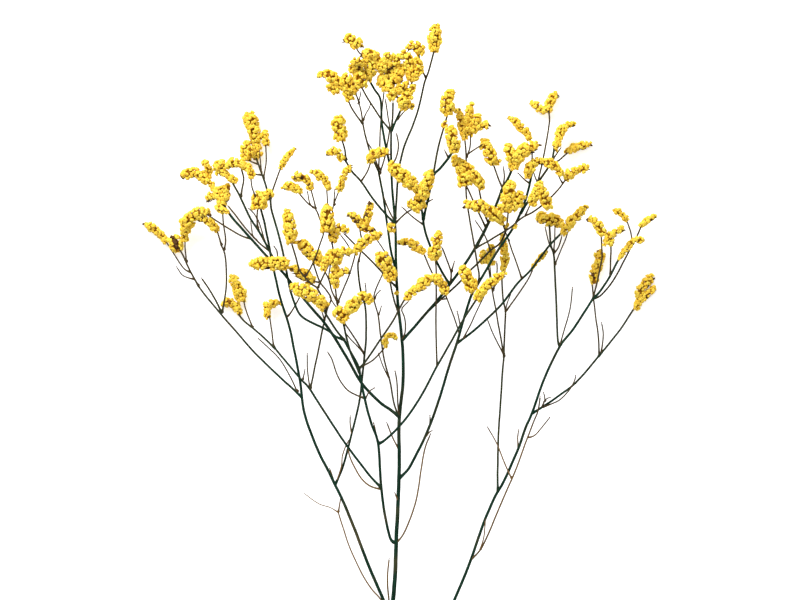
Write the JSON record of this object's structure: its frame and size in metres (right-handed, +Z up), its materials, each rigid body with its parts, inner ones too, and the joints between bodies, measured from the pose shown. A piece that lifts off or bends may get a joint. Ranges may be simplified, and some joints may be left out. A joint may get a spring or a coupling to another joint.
{
  "type": "dried statice stem",
  "caption": "Cut dried statice, lying down: a branching dark green stem with wiry twigs and small curved spikes of papery yellow flowers.",
  "frame": {"origin": "middle of the plant's box, on the surface that the plant lies on", "axes": "+Y from the cut end of the stem to the tip, +X across the head, to the right in the picture, +Z up from the surface"},
  "size_m": [0.4128, 0.6195, 0.101],
  "materials": {
    "stem": "matt",
    "flowers": "matt"
  },
  "bodies": {
    "root": {"main_stem": "stem", "left_stem": "stem", "right_stem": "stem", "low_left_twig": "stem", "right_brown_twig": "stem", "far_left_branch": "stem", "upper_left_branch": "stem", "low_left_branch": "stem", "left_fan_branch": "stem", "left_fan_fork": "stem", "top_left_branch": "stem", "middle_left_twig": "stem", "inner_twig": "stem", "top_branch": "stem", "right_branch": "stem", "centre_right_branch": "stem", "under_branch": "stem", "centre_twig": "stem", "lower_right_branch": "stem", "far_right_branch": "stem", "far_left_spray": "flowers", "low_left_spray": "flowers", "left_crest_spray": "flowers", "left_top_spray": "flowers", "left_inner_spray": "flowers", "top_left_spray": "flowers", "left_arch_spray": "flowers", "upper_left_arch_spray": "flowers", "left_tall_spray": "flowers", "left_centre_spray": "flowers", "low_centre_spray": "flowers", "centre_fork_spray": "flowers", "left_mid_spray": "flowers", "centre_low_spray": "flowers", "bridge_spray": "flowers", "left_wing_spray": "flowers", "crossing_spray": "flowers", "under_spray": "flowers", "upper_centre_spray": "flowers", "centre_crest_spray": "flowers", "shoulder_spray": "flowers", "top_outer_spray": "flowers", "top_left_cluster": "flowers", "top_middle_cluster": "flowers", "top_tip_spray": "flowers", "right_tall_spray": "flowers", "right_lean_spray": "flowers", "right_crest_spray": "flowers", "upper_right_spray": "flowers", "right_arch_spray": "flowers", "far_upper_right_spray": "flowers", "right_wing_spray": "flowers", "right_long_spray": "flowers", "right_inner_spray": "flowers", "far_right_spray": "flowers", "right_tip_spray": "flowers", "lower_right_spray": "flowers", "right_small_spray": "flowers"}
  },
  "joints": []
}
